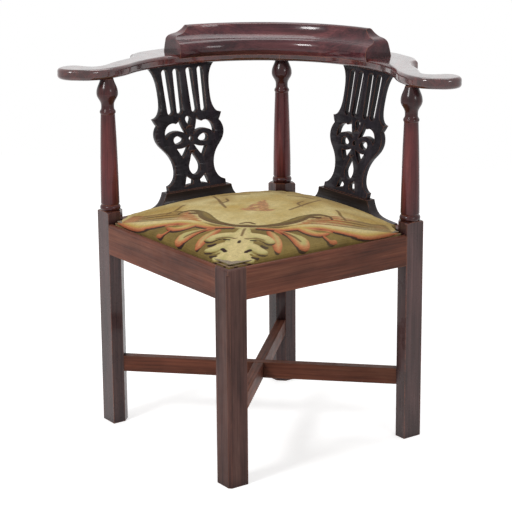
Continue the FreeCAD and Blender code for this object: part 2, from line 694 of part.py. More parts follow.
def arm_blank():
    """The plan cut from a board, its edges rounded except where the two halves meet."""
    plan = arm_plan()
    plan.translate(Vector(0, 0, s.arm_bottom))
    board = plan.extrude(Vector(0, 0, s.arm_thickness))
    level = [edge for edge in board.Edges
             if edge.BoundBox.ZLength < s.fit_gap and edge.BoundBox.XMax > s.fit_gap]
    return board.makeFillet(s.arm_edge_round, level)


def end_trimmer(edges, way):
    """A cutter for one end of the crest, drawn in the plane square to the horseshoe there."""
    tool = face(edges).extrude(Vector(0, 2 * arm_inner, 0))
    tool.rotate(Vector(), UP, -s.crest_half_angle)
    return tool if way > 0 else tool.mirror(Vector(), Vector(1, 0, 0))


def crest_sweep(section):
    """A section of the crest swept along the horseshoe, a little past both its ends."""
    past = s.crest_half_angle + 15
    section.rotate(Vector(), UP, 90 - past)
    return section.revolve(Vector(), UP, 2 * past)


def crest():
    """The crest rail: a bulge below, a hollow above it, and the same moulding at the ends."""
    foot, back = arm_inner, arm_inner + s.crest_depth
    step, low = s.crest_hollow_height, s.crest_bulge_height

    def at(radius, height):
        return Vector(radius, 0, height)
    brow = at(foot + s.crest_bulge * 1.6, crest_break)
    rim = at(foot + step, crest_top - step / 12)
    rear = at(foot + step * 1.5, crest_top - step / 10)
    section = line(at(back, crest_bottom), at(foot, crest_bottom))
    section += smooth(at(foot, crest_bottom), at(foot - s.crest_bulge, crest_bottom + low * 0.42),
                      at(foot - s.crest_bulge / 3, crest_bottom + low * 0.8), brow)
    section += smooth(brow, at(foot + step * 0.72, crest_break + step * 0.3), rim)
    section += arc(rim, at(foot + step * 1.25, crest_top), rear)
    section += smooth(rear, at(foot + step * 1.85, crest_break + step * 0.2), at(back, crest_bottom))
    sweep = crest_sweep(face(section))
    half, far = s.crest_end_run / 2, s.crest_end_run * 3

    def end(reach, drop):
        return Vector(reach, 0, crest_top - drop)
    peak, root = end(-half, 0), end(half, step * 1.1)
    edges = smooth(peak, end(-half * 0.86, step * 0.22), end(-half * 0.58, step * 0.4),
                   end(-half * 0.16, step * 0.55), end(half * 0.36, step * 0.62),
                   end(half * 0.78, step * 0.73), root)
    edges += line(root, end(half, far), end(far, far), end(far, -far), end(-half, -far), peak)
    for way in (-1, 1):
        sweep = sweep.cut(end_trimmer(edges, way))
    return sweep


def crest_seat():
    """The sinking in the arms that takes the crest's foot."""
    near, back = arm_inner - s.arm_thickness, arm_inner + s.crest_depth + s.fit_gap
    corners = [Vector(near, 0, crest_bottom), Vector(back, 0, crest_bottom),
               Vector(back, 0, crest_top), Vector(near, 0, crest_top)]
    sweep = crest_sweep(face(line(*corners, corners[0])))
    half, far = s.crest_end_run / 2 + s.fit_gap, s.crest_end_run * 3
    corners = [Vector(half, 0, 0), Vector(far, 0, 0), Vector(far, 0, 2 * arm_top),
               Vector(half, 0, 2 * arm_top)]
    for way in (-1, 1):
        sweep = sweep.cut(end_trimmer(line(*corners, corners[0]), way))
    return sweep


CREST_SCREW_ANGLES = (-42, -27, -12, 12, 27, 42)


def crest_screws(name, play):
    """Six screws driven up through the arms into the crest."""
    screws = []
    for number, angle in enumerate(CREST_SCREW_ANGLES):
        shank = rod(f"{name}_shank_{number}", ("0", f"{ARM_INNER} + screw_inset", "arm_bottom"),
                    f"screw_radius + {play}", f"screw_length + {play}")
        head = rod(f"{name}_head_{number}", ("0", f"{ARM_INNER} + screw_inset", "arm_bottom"),
                   f"screw_head_radius + {play}", f"screw_radius + {play}")
        whole = join(f"{name}_whole_{number}", [shank, head])
        screws.append(group(f"{name}_{number}", [whole], angle))
    return screws


def arm_tools():
    """Everything that is cut out of the horseshoe."""
    pockets = [drawn("crest_seat", crest_seat())] + crest_screws("arm_hole", "fit_gap")
    for side in ("back_left", "back_right"):
        pocket = block(side + "_arm_mortise",
                       ("-splat_tenon_width / 2 - fit_gap",
                        f"{SPLAT_HEAD} - splat_tenon_thickness / 2 - fit_gap", "arm_bottom"),
                       ("splat_tenon_width + 2 * fit_gap", "splat_tenon_thickness + 2 * fit_gap",
                        "splat_head_tenon + fit_gap"))
        pockets.append(group(side + "_arm_pocket", [pocket], RAIL_TURNS[side]))
    for side in ("left", "right", "back"):
        offset = "(seat_side / 2 - leg_width / 2 + column_shift)"
        socket = rod(side + "_arm_socket", (offset, offset, "arm_bottom"),
                     "post_tenon_radius + fit_gap", "post_tenon_length + fit_gap")
        pockets.append(group(side + "_arm_hole", [socket], CORNER_TURNS[side]))
    return pockets


def arms_and_crest():
    right = drawn("arm_blank", arm_blank())
    tools = group("arm_tools", arm_tools())
    node(cut("right_arm_fitted", right, [tools]), "right_arm")
    node(cut("left_arm_fitted", mirrored("left_arm_blank", right), [tools]), "left_arm")
    bored = cut("crest_bored", drawn("crest_blank", crest()), crest_screws("crest_hole", "fit_gap"))
    node(bored, "crest_rail")
    node(group("crest_screw_set", crest_screws("crest_screw", "0")), "crest_screws")


# The drop-in seat is drawn square, then turned with the rest. Its outline is notched round
# the three posts, and every layer repeats that outline further in.

def seat_outline(inset):
    front = f"(lip_width + seat_gap + {inset} - seat_side / 2)"
    back = f"({RAIL_INNER} - seat_gap - {inset})"
    notch = f"({LEG_FACE} - seat_gap - {inset})"
    return ((front, front), (notch, front), (notch, "-" + notch), (back, "-" + notch),
            (back, notch), (notch, notch), (notch, back), ("-" + notch, back),
            ("-" + notch, notch), (front, notch))


def crowned(name, inset, base, drop):
    """A layer of the seat under a shallow dome that lies lower by a given drop."""
    reach = "(seat_side / 2 - lip_width - seat_gap)"
    radius = f"({reach} * {reach} / seat_crown + seat_crown / 2)"
    prism = outline_body(name + "_prism", seat_outline(inset), base, "leg_width + seat_crown")
    ball = doc.addObject("Part::Sphere", name + "_dome")
    bind(ball, "Radius", radius)
    bind(ball, "Placement.Base.z",
         f"{MEMBER_BOTTOM} + member_thickness + seat_edge_height + seat_crown - {drop} - {radius}")
    return common(name + "_crowned", [prism, ball])


def tacks(name, radius, low, height):
    """Round rods where the tacks stand, along the four sides of the hem."""
    rods = []
    front = "(lip_width + seat_gap + tack_inset - seat_side / 2)"
    back = f"({RAIL_INNER} - seat_gap - tack_inset)"
    for number in range(-2, 3):
        along = f"{number} * tack_pitch"
        for side, place in enumerate(((front, along), (back, along), (along, front), (along, back))):
            rods.append(rod(f"{name}_{side}_{number + 2}", place + (low,), radius, height))
    return rods


def seat_members(holes):
    """Four halved members; the two that run one way pass under the other two."""
    inset = "(cover_thickness + cover_slack)"
    near = f"(lip_width + seat_gap + {inset} - seat_side / 2)"
    far = f"({RAIL_INNER} - seat_gap - {inset} - member_width)"
    length = "seat_side"
    start = "-seat_side / 2"
    level = f"{MEMBER_BOTTOM} + member_thickness / 2"
    for label, edge, lengthwise in (("seat_member_front_left", near, False),
                                    ("seat_member_back_right", far, False),
                                    ("seat_member_front_right", near, True),
                                    ("seat_member_back_left", far, True)):
        plan = outline_body(label + "_plan", seat_outline(inset), MEMBER_BOTTOM, "member_thickness")
        corner, size = (edge, start), ("member_width", length)
        laps = []
        for number, end in enumerate((near, far)):
            at, extent = (start, end), (length, "member_width")
            if lengthwise:
                at, extent = at[::-1], extent[::-1]
            low = MEMBER_BOTTOM if lengthwise else level
            laps.append(block(f"{label}_lap_{number}", at + (low,), extent + ("member_thickness / 2",)))
        if lengthwise:
            corner, size = corner[::-1], size[::-1]
        bar = block(label + "_bar", corner + (MEMBER_BOTTOM,), size + ("member_thickness",))
        piece = common(label + "_piece", [plan, bar])
        node(cut(label + "_halved", piece, laps + [holes]), label, CORNER_TURNS["back"])


def webbing():
    """Three strips each way, the second set laid over the first."""
    top = f"{MEMBER_BOTTOM} + member_thickness"
    start = "(lip_width + seat_gap + web_inset - seat_side / 2)"
    length = f"({RAIL_INNER} - seat_gap - web_inset - {start})"
    middle = f"({start} + {length} / 2 - web_width / 2)"
    strips = []
    for number in (-1, 0, 1):
        across = f"{middle} + {number} * web_pitch"
        strips.append(block(f"web_{number + 1}", (start, across, top),
                            (length, "web_width", "web_thickness")))
        strips.append(block(f"cross_web_{number + 1}", (across, start, f"{top} + web_thickness"),
                            ("web_width", length, "web_thickness")))
    node(join("webbing_mat", strips), "seat_webbing", CORNER_TURNS["back"])


def drop_in_seat():
    turn = CORNER_TURNS["back"]
    holes = group("tack_holes", tacks("tack_hole", "tack_radius + fit_gap", SEAT_BOTTOM, "tack_length"))
    seat_members(holes)
    webbing()
    base = f"({MEMBER_BOTTOM} + member_thickness + 2 * web_thickness)"
    sacking = outline_body("sacking", seat_outline("(3 * cover_thickness)"), base, "sacking_thickness")
    node(sacking, "seat_sacking", turn)
    bind(sacking, "Placement.Base.z", base)
    slack = "(cover_thickness + cover_slack)"
    stuffing = crowned("stuffing", slack, f"{base} + sacking_thickness", slack)
    node(stuffing, "seat_stuffing", turn)
    outer = crowned("cover_outer", "0", SEAT_BOTTOM, "0")
    inner = crowned("cover_inner", "cover_thickness", MEMBER_BOTTOM, "cover_thickness")
    opening = outline_body("cover_opening", seat_outline("hem_width"), "rail_bottom", "rail_height")
    node(cut("cover_shell", outer, [inner, opening, holes]), "seat_cover", turn)
    shanks = tacks("tack_shank", "tack_radius", SEAT_BOTTOM, "tack_length")
    heads = tacks("tack_head", "tack_head_radius", f"{SEAT_BOTTOM} - tack_radius", "tack_radius")
    pins = [join(f"tack_{number}", pair) for number, pair in enumerate(zip(shanks, heads))]
    node(group("tack_set", pins), "seat_tacks", turn)


front_leg()
for corner in ("left", "right", "back"):
    turned_post(corner)
for corner in CORNER_TURNS:
    corner_block(corner)
for corner in ("front_left", "front_right"):
    front_rail(corner)
for corner in ("back_left", "back_right"):
    back_rail(corner)
    ledger(corner)
    shoe(corner)
    splat(corner)
all_ledger_screws()
stretcher("left_right_stretcher", True, 0)
stretcher("front_back_stretcher", False, 90)
arms_and_crest()
drop_in_seat()
doc.recompute()

for item in doc.Objects:
    if "Invalid" in item.State or "Error" in item.State:
        raise RuntimeError(f"{item.Label} failed: {item.State}")
for item in nodes:
    if item.Shape.isNull() or not item.Shape.isValid() or not item.Shape.Solids:
        raise RuntimeError(f"{item.Label} has no valid solid")

os.makedirs("parts", exist_ok=True)
for item in nodes:
    item.Shape.exportStep(f"parts/{item.Label}.step")
    print(f"{item.Label}: {len(item.Shape.Solids)} solid(s), {item.Shape.Volume / 1000:.1f} cm3")
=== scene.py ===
import math

import bpy
import numpy as np
from mathutils import Euler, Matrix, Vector


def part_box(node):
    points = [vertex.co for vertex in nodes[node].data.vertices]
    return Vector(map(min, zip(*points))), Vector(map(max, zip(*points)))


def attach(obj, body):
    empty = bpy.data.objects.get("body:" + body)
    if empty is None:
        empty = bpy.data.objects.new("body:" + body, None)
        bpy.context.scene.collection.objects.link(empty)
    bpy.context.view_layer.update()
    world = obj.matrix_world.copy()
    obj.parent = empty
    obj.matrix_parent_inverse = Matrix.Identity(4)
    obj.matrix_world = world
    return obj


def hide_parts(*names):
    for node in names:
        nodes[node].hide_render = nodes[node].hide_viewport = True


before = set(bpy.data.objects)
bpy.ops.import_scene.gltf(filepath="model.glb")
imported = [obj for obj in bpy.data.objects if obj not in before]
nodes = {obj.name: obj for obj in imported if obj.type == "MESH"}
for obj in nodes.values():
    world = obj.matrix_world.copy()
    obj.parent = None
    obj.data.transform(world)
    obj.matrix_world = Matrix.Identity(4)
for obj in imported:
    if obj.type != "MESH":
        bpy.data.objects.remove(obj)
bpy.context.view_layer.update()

scene = bpy.context.scene

# The seat square stands diagonally: its middle is level with the two side posts, and its
# sides run at 45 degrees.
MIDDLE = Vector((0, sum(corner.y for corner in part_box("left_post")) / 2, 0))
DIAGONAL = math.radians(45)
RAIL_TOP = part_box("front_leg")[1].z
COVER_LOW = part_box("seat_cover")[0].z
SACKING_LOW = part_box("seat_sacking")[0].z


# Camera, light and floor

CAMERA_OFFSET = Vector((0.561, -3.2215, 1.261))
CAMERA_YAW = math.radians(8.174)
CAMERA_PITCH = math.radians(13.623)
CAMERA_LENS = 118.5
CAMERA_SHIFT = (-0.0996, -0.0996)
SENSOR_WIDTH = 36

WHITE = (1, 1, 1, 1)
WORLD_LIGHT = 0.36
BACKDROP_LIGHT = 1
LAMP_AIM = MIDDLE + Vector((0, 0, 0.45))
# Each lamp's place, its width and depth, and its power
LAMPS = {
    "key": ((-1.9, -2.6, 2.6), (0.8, 0.8), 60),
    "fill": ((2.6, -2.2, 1.6), (0.8, 0.8), 17),
    "top": ((0.2, 0.9, 2.9), (1.8, 1.2), 24),
}
FLOOR_SIZE = 5
FLOOR_TONE = (0.86, 0.86, 0.86, 1)
FLOOR_ROUGHNESS = 0.9
FLOOR_GLOW = 0.60


def camera():
    data = bpy.data.cameras.new("camera")
    data.sensor_width = SENSOR_WIDTH
    data.lens = CAMERA_LENS
    data.shift_x, data.shift_y = CAMERA_SHIFT
    item = bpy.data.objects.new("camera", data)
    item.location = MIDDLE + CAMERA_OFFSET
    item.rotation_euler = Euler((math.pi / 2 - CAMERA_PITCH, 0, CAMERA_YAW))
    scene.collection.objects.link(item)
    scene.camera = item


def area_light(name, place, size, power):
    data = bpy.data.lights.new(name, "AREA")
    data.shape = "RECTANGLE"
    data.size, data.size_y = size
    data.energy = power
    item = bpy.data.objects.new(name, data)
    item.location = place
    item.rotation_euler = (LAMP_AIM - Vector(place)).to_track_quat("-Z", "Y").to_euler()
    scene.collection.objects.link(item)


def seen_directly(tree):
    """1 for what the camera, a reflection or a clear body shows, 0 for light on surfaces."""
    path = tree.nodes.new("ShaderNodeLightPath")
    total = path.outputs["Is Camera Ray"]
    for word in ("Is Glossy Ray", "Is Transmission Ray"):
        add = tree.nodes.new("ShaderNodeMath")
        add.operation = "MAXIMUM"
        tree.links.new(total, add.inputs[0])
        tree.links.new(path.outputs[word], add.inputs[1])
        total = add.outputs[0]
    return total


def studio():
    """A white surround that is seen at full strength but lights the chair more gently."""
    world = bpy.data.worlds.new("studio")
    scene.world = world
    world.use_nodes = True
    tree = world.node_tree
    back = tree.nodes["Background"]
    back.inputs["Color"].default_value = WHITE
    strength = tree.nodes.new("ShaderNodeMapRange")
    strength.inputs["To Min"].default_value = WORLD_LIGHT
    strength.inputs["To Max"].default_value = BACKDROP_LIGHT
    tree.links.new(seen_directly(tree), strength.inputs["Value"])
    tree.links.new(strength.outputs[0], back.inputs["Strength"])
    for name, (place, size, power) in LAMPS.items():
        area_light(name, place, size, power)


def floor():
    """A white sheet on the ground, lit a little from within so that its horizon vanishes."""
    mesh = bpy.data.meshes.new("floor")
    half = FLOOR_SIZE / 2
    corners = [(-half, -half, 0), (half, -half, 0), (half, half, 0), (-half, half, 0)]
    mesh.from_pydata(corners, [], [(0, 1, 2, 3)])
    item = bpy.data.objects.new("floor", mesh)
    scene.collection.objects.link(item)
    material, tree, shader = new_material("floor_white")
    shader.inputs["Base Color"].default_value = FLOOR_TONE
    shader.inputs["Roughness"].default_value = FLOOR_ROUGHNESS
    shader.inputs["Emission Color"].default_value = WHITE
    glow = tree.nodes.new("ShaderNodeMath")
    glow.operation = "MULTIPLY"
    glow.inputs[1].default_value = FLOOR_GLOW
    tree.links.new(seen_directly(tree), glow.inputs[0])
    tree.links.new(glow.outputs[0], shader.inputs["Emission Strength"])
    item.data.materials.append(material)


# Materials

# The directions that the grain takes, as turns of the texture
UPRIGHT = (0, math.pi / 2, 0)
ALONG_X = (0, 0, 0)
ALONG_Y = (0, 0, math.pi / 2)
FRONT_LEFT = (0, 0, -DIAGONAL)
FRONT_RIGHT = (0, 0, DIAGONAL)
EVEN = (1, 1, 1)


def new_material(name):
    material = bpy.data.materials.new(name)
    material.use_nodes = True
    tree = material.node_tree
    return material, tree, tree.nodes["Principled BSDF"]


def dress(item, material):
    """Give an object one material in place of what it came with."""
    item.data.materials.clear()
    item.data.materials.append(material)


def stretched(tree, turn, scale):
    """Coordinates turned so that a grain runs along X, then scaled axis by axis."""
    place = tree.nodes.new("ShaderNodeTexCoord")
    rotate = tree.nodes.new("ShaderNodeMapping")
    rotate.vector_type = "TEXTURE"
    rotate.inputs["Rotation"].default_value = turn
    squeeze = tree.nodes.new("ShaderNodeMapping")
    squeeze.inputs["Scale"].default_value = scale
    tree.links.new(place.outputs["Object"], rotate.inputs["Vector"])
    tree.links.new(rotate.outputs[0], squeeze.inputs["Vector"])
    return squeeze.outputs[0]


def noise(tree, vector, scale, detail=6, rough=0.55, warp=0.0):
    item = tree.nodes.new("ShaderNodeTexNoise")
    item.inputs["Scale"].default_value = scale
    item.inputs["Detail"].default_value = detail
    item.inputs["Roughness"].default_value = rough
    item.inputs["Distortion"].default_value = warp
    tree.links.new(vector, item.inputs["Vector"])
    return item.outputs["Fac"]


def ramp(tree, value, *stops):
    """A colour or grey ramp; each stop is a position and a colour or a level."""
    item = tree.nodes.new("ShaderNodeValToRGB")
    band = item.color_ramp
    while len(band.elements) < len(stops):
        band.elements.new(0.5)
    for element, (position, tint) in zip(band.elements, stops):
        element.position = position
        element.color = tuple(tint) + (1,) if isinstance(tint, tuple) else (tint, tint, tint, 1)
    tree.links.new(value, item.inputs["Fac"])
    return item.outputs["Color"]


def mix(tree, kind, factor, one, two):
    """Mix two colours; the factor is a number or a socket."""
    item = tree.nodes.new("ShaderNodeMix")
    item.data_type = "RGBA"
    item.blend_type = kind
    for socket, value in zip((item.inputs[0], item.inputs[6], item.inputs[7]),
                             (factor, one, two)):
        if isinstance(value, bpy.types.NodeSocket):
            tree.links.new(value, socket)
        else:
            socket.default_value = value + (1,) if isinstance(value, tuple) else value
    return item.outputs[2]


def bands(tree, vector, direction, scale, warp=0.0):
    """Parallel waves, for threads and rows of stitches."""
    item = tree.nodes.new("ShaderNodeTexWave")
    item.bands_direction = direction
    item.inputs["Scale"].default_value = scale
    item.inputs["Distortion"].default_value = warp
    tree.links.new(vector, item.inputs["Vector"])
    return item.outputs["Fac"]


def bump(tree, shader, height, distance, strength):
    item = tree.nodes.new("ShaderNodeBump")
    item.inputs["Distance"].default_value = distance
    item.inputs["Strength"].default_value = strength
    tree.links.new(height, item.inputs["Height"])
    tree.links.new(item.outputs[0], shader.inputs["Normal"])


def edge_mask(tree, radius):
    """1 on sharp outer edges, where hands and dusters have worn the polish."""
    round_off = tree.nodes.new("ShaderNodeBevel")
    round_off.samples = 4
    round_off.inputs["Radius"].default_value = radius
    flat = tree.nodes.new("ShaderNodeNewGeometry")
    dot = tree.nodes.new("ShaderNodeVectorMath")
    dot.operation = "DOT_PRODUCT"
    tree.links.new(round_off.outputs[0], dot.inputs[0])
    tree.links.new(flat.outputs["Normal"], dot.inputs[1])
    return ramp(tree, dot.outputs["Value"], (0.75, 1.0), (0.98, 0.0))


def painted_corner_shade_mask(tree, distance):
    """1 in the corners that ambient occlusion finds, where shade is painted."""
    item = tree.nodes.new("ShaderNodeAmbientOcclusion")
    item.samples = 4
    item.inputs["Distance"].default_value = distance
    return ramp(tree, item.outputs["AO"], (0.35, 1.0), (0.85, 0.0))


def above(tree, level, soft=0.002):
    """0 below a height and 1 above it."""
    place = tree.nodes.new("ShaderNodeTexCoord")
    split = tree.nodes.new("ShaderNodeSeparateXYZ")
    tree.links.new(place.outputs["Object"], split.inputs[0])
    span = tree.nodes.new("ShaderNodeMapRange")
    span.inputs["From Min"].default_value = level - soft
    span.inputs["From Max"].default_value = level + soft
    tree.links.new(split.outputs["Z"], span.inputs["Value"])
    return span.outputs[0]


GRAIN_STOPS = (0.3, 0.5, 0.72)
TURNING_LOW = RAIL_TOP + 0.024
POST_MIDDLE = (TURNING_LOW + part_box("left_post")[1].z) / 2
MAHOGANY = ((0.052, 0.026, 0.024), (0.100, 0.046, 0.038), (0.150, 0.076, 0.062))
MAHOGANY_BLOCK = ((0.036, 0.020, 0.022), (0.072, 0.035, 0.034), (0.115, 0.060, 0.056))
MAHOGANY_RAIL = ((0.062, 0.022, 0.014), (0.135, 0.042, 0.024), (0.22, 0.082, 0.046))
MAHOGANY_RED = ((0.055, 0.011, 0.014), (0.124, 0.024, 0.026), (0.22, 0.050, 0.046))
MAHOGANY_ARM = ((0.034, 0.009, 0.010), (0.080, 0.018, 0.018), (0.16, 0.038, 0.032))
MAHOGANY_CREST = ((0.034, 0.010, 0.016), (0.092, 0.024, 0.030), (0.17, 0.050, 0.052))
MAHOGANY_SHOE = ((0.009, 0.005, 0.006), (0.020, 0.011, 0.012), (0.045, 0.022, 0.020))
MAHOGANY_BLACK = ((0.007, 0.005, 0.008), (0.014, 0.011, 0.016), (0.034, 0.022, 0.028))
OAK = ((0.10, 0.06, 0.03), (0.19, 0.12, 0.06), (0.28, 0.18, 0.10))
BEECH = ((0.26, 0.16, 0.08), (0.38, 0.25, 0.14), (0.48, 0.34, 0.20))
WORN = (0.22, 0.085, 0.045)
WORN_RED = (0.34, 0.11, 0.055)
WORN_PALE = (0.42, 0.30, 0.18)

# How a texture is stretched along the grain
LONG_GRAIN = (1.1, 26, 26)
PORE_STREAKS = (3, 160, 160)
PATINA = (0.7, 2.4, 2.4)
# How far wear reaches in from an edge, and painted shade out of a corner
EDGE_WEAR = 0.003
CORNER_SHADE_REACH = 0.028
# How dark the painted corner shade is, as a share of the darkest grain tone
CORNER_SHADE_TONE = 0.3
ROUGHNESS_SPREAD = 0.22
PORE_DEPTH = 0.0004
PORE_STRENGTH = 0.25
# How light a turning is left by its painted shade, from its foot to its top
TURNING_PAINTED_SHADE = ((0.0, 0.28), (0.16, 0.85), (0.35, 1.1), (0.62, 1.0), (0.76, 0.4), (1.0, 0.3))
# Each finish: roughness, reflection, polish and how much the pores show
LEG_FINISH = (0.42, 0.15, 0.05, 0.5)
POST_FINISH = (0.2, 0.15, 0.35, 0.5)
RAIL_FINISH = (0.42, 0.15, 0.1, 0.5)
SHOE_FINISH = (0.36, 0.2, 0.15, 0.5)
SPLAT_FINISH = (0.28, 0.1, 0.18, 0.5)
ARM_FINISH = (0.15, 0.3, 1.0, 0.5)
CREST_FINISH = (0.12, 0.15, 0.4, 0.5)
STRETCHER_FINISH = (0.45, 0.15, 0.05, 0.5)
OAK_FINISH = (0.7, 0.3, 0.0, 0.8)
BEECH_FINISH = (0.75, 0.3, 0.0, 0.5)
# Each timber: the direction of its grain, tones, finish, worn tone and pieces
TIMBERS = {
    "mahogany_legs": (UPRIGHT, MAHOGANY, LEG_FINISH, WORN, ["front_leg"]),
    "mahogany_posts": (UPRIGHT, MAHOGANY_RED, POST_FINISH, WORN_RED,
                       ["left_post", "right_post", "back_post"]),
    "mahogany_rail_left": (FRONT_LEFT, MAHOGANY_RAIL, RAIL_FINISH, WORN,
                           ["front_left_rail", "back_right_rail"]),
    "mahogany_rail_right": (FRONT_RIGHT, MAHOGANY_RAIL, RAIL_FINISH, WORN,
                            ["front_right_rail", "back_left_rail"]),
    "mahogany_shoe_left": (FRONT_LEFT, MAHOGANY_SHOE, SHOE_FINISH, WORN, ["back_right_shoe"]),
    "mahogany_shoe_right": (FRONT_RIGHT, MAHOGANY_SHOE, SHOE_FINISH, WORN, ["back_left_shoe"]),
    "mahogany_splats": (UPRIGHT, MAHOGANY_BLACK, SPLAT_FINISH, WORN,
                        ["back_left_splat", "back_right_splat"]),
    "mahogany_arms": (ALONG_Y, MAHOGANY_ARM, ARM_FINISH, WORN_RED, ["left_arm", "right_arm"]),
    "mahogany_crest": (ALONG_X, MAHOGANY_CREST, CREST_FINISH, WORN_RED, ["crest_rail"]),
    "mahogany_stretcher_x": (ALONG_X, MAHOGANY_RAIL, STRETCHER_FINISH, WORN,
                             ["left_right_stretcher"]),
    "mahogany_stretcher_y": (ALONG_Y, MAHOGANY_RAIL, STRETCHER_FINISH, WORN,
                             ["front_back_stretcher"]),
    "oak_left": (FRONT_LEFT, OAK, OAK_FINISH, WORN_PALE,
                 ["back_right_ledger", "front_corner_block", "back_corner_block"]),
    "oak_right": (FRONT_RIGHT, OAK, OAK_FINISH, WORN_PALE,
                  ["back_left_ledger", "left_corner_block", "right_corner_block"]),
    "beech_left": (FRONT_LEFT, BEECH, BEECH_FINISH, WORN_PALE,
                   ["seat_member_front_left", "seat_member_back_right"]),
    "beech_right": (FRONT_RIGHT, BEECH, BEECH_FINISH, WORN_PALE,
                    ["seat_member_front_right", "seat_member_back_left"]),
}
# Other tones for the square part of a post, below its turning
BLOCK_TONES = {"mahogany_posts": MAHOGANY_BLOCK}
SOFT_EDGES = {
    "front_leg": 0.0012,
    "left_right_stretcher": 0.0010,
    "front_back_stretcher": 0.0010,
    "back_left_shoe": 0.0010,
    "back_right_shoe": 0.0010,
    "front_left_rail": 0.0010,
    "front_right_rail": 0.0010,
    "back_left_splat": 0.0011,
    "back_right_splat": 0.0011,
}
SOFTENED_ANGLE = math.radians(40)


def wood(name, turn, tones, finish, worn):
    """A timber: long grain, fine pores, blotches of patina, worn edges and painted shade in its
    corners.

    A turning gets painted shade at its foot and its bulb, and is painted a little lighter between
    them.
    """
    roughness, shine, coat, pores = finish
    material, tree, shader = new_material(name)
    grain = noise(tree, stretched(tree, turn, LONG_GRAIN), scale=2.2, detail=8, rough=0.62,
                  warp=0.9)
    colour = ramp(tree, grain, *zip(GRAIN_STOPS, tones))
    if name in BLOCK_TONES:
        # Painted shade at the foot and the bulb of a turning, lighter between them.
        turning_shade = ramp(tree, above(tree, POST_MIDDLE, POST_MIDDLE - TURNING_LOW), *TURNING_PAINTED_SHADE)
        colour = mix(tree, "MULTIPLY", 1.0, colour, turning_shade)
        block = ramp(tree, grain, *zip(GRAIN_STOPS, BLOCK_TONES[name]))
        colour = mix(tree, "MIX", above(tree, TURNING_LOW), block, colour)
    streak = noise(tree, stretched(tree, turn, PORE_STREAKS), scale=2.4, detail=4, rough=0.5)
    fleck = ramp(tree, streak, (0.36, 0.35), (0.52, 1.0))
    colour = mix(tree, "MULTIPLY", pores, colour, fleck)
    patch = noise(tree, stretched(tree, turn, PATINA), scale=5.5, detail=5, rough=0.6,
                  warp=0.3)
    colour = mix(tree, "MULTIPLY", 0.9, colour, ramp(tree, patch, (0.32, 0.45), (0.66, 1.5)))
    # Painted shade: the corners are darkened towards a deep grain tone.
    corner_shade = tuple(CORNER_SHADE_TONE * level for level in tones[0])
    colour = mix(tree, "MIX", painted_corner_shade_mask(tree, CORNER_SHADE_REACH), colour, corner_shade)
    scuff = noise(tree, stretched(tree, turn, EVEN), scale=38, detail=5, rough=0.7)
    rub = tree.nodes.new("ShaderNodeMath")
    rub.operation = "MULTIPLY"
    tree.links.new(edge_mask(tree, EDGE_WEAR), rub.inputs[0])
    tree.links.new(ramp(tree, scuff, (0.38, 0.2), (0.56, 1.0)), rub.inputs[1])
    colour = mix(tree, "MIX", rub.outputs[0], colour, worn)
    tree.links.new(colour, shader.inputs["Base Color"])
    roughest = min(1.0, roughness + ROUGHNESS_SPREAD)
    tree.links.new(ramp(tree, scuff, (0.3, roughness), (0.75, roughest)),
                   shader.inputs["Roughness"])
    shader.inputs["Coat Weight"].default_value = coat
    shader.inputs["Coat Roughness"].default_value = roughness * 0.5
    shader.inputs["Specular IOR Level"].default_value = shine
    bump(tree, shader, streak, distance=PORE_DEPTH, strength=PORE_STRENGTH * pores)
    return material


def woodwork():
    """Each wooden piece has its grain along its length."""
    for name, (turn, tones, finish, worn, pieces) in TIMBERS.items():
        material = wood(name, turn, tones, finish, worn)
        for piece in pieces:
            dress(nodes[piece], material)
    for piece, width in SOFT_EDGES.items():
        soften(piece, width)


def soften(name, width):
    """Weld a piece's faces together and take the sharpness off its edges."""
    item = nodes[name]
    weld = item.modifiers.new("weld", "WELD")
    weld.merge_threshold = 0.00002
    bevel = item.modifiers.new("soft_edges", "BEVEL")
    bevel.width = width
    bevel.segments = 2
    bevel.limit_method = "ANGLE"
    bevel.angle_limit = SOFTENED_ANGLE
    bevel.harden_normals = True
    bevel.use_clamp_overlap = True


IRON_BLUE = (0.035, 0.034, 0.036)
IRON_RUST = (0.12, 0.055, 0.03)


def iron():
    material, tree, shader = new_material("blued_iron")
    rust = noise(tree, stretched(tree, ALONG_X, EVEN), scale=260, detail=5)
    colour = ramp(tree, rust, (0.4, IRON_BLUE), (0.62, IRON_RUST))
    tree.links.new(colour, shader.inputs["Base Color"])
    shader.inputs["Metallic"].default_value = 0.8
    tree.links.new(ramp(tree, rust, (0.3, 0.35), (0.7, 0.8)), shader.inputs["Roughness"])
    for name in ("seat_tacks", "ledger_screws", "crest_screws"):
        dress(nodes[name], material)


# Dark and light tones of a weave, and the distance between its threads
WEBBING = ((0.12, 0.08, 0.045), (0.34, 0.25, 0.15), 0.0022)
SACKING = ((0.13, 0.09, 0.05), (0.30, 0.22, 0.13), 0.0013)
# The scale of a wave texture whose waves lie about a metre apart
WAVE_PER_METRE = 1 / 3.2


def woven(name, dark, light, pitch):
    """A coarse plain weave of flax or jute, set diagonally."""
    material, tree, shader = new_material(name)
    place = stretched(tree, (0, 0, DIAGONAL), EVEN)
    threads = [bands(tree, place, direction, WAVE_PER_METRE / pitch, warp=0.6)
               for direction in ("X", "Y")]
    lift = mix(tree, "LIGHTEN", 1.0, *threads)
    fibre = noise(tree, place, scale=420, detail=4)
    colour = mix(tree, "MULTIPLY", 0.5, ramp(tree, lift, (0.1, dark), (0.9, light)),
                 ramp(tree, fibre, (0.3, 0.6), (0.7, 1.2)))
    tree.links.new(colour, shader.inputs["Base Color"])
    shader.inputs["Roughness"].default_value = 0.9
    shader.inputs["Sheen Weight"].default_value = 0.2
    bump(tree, shader, lift, distance=0.0006, strength=0.7)
    return material


def linings():
    dress(nodes["seat_webbing"], woven("webbing", *WEBBING))
    dress(nodes["seat_sacking"], woven("sacking", *SACKING))


# The padded seat

VOXEL = 0.005
COVER_GROWTH = 1.005
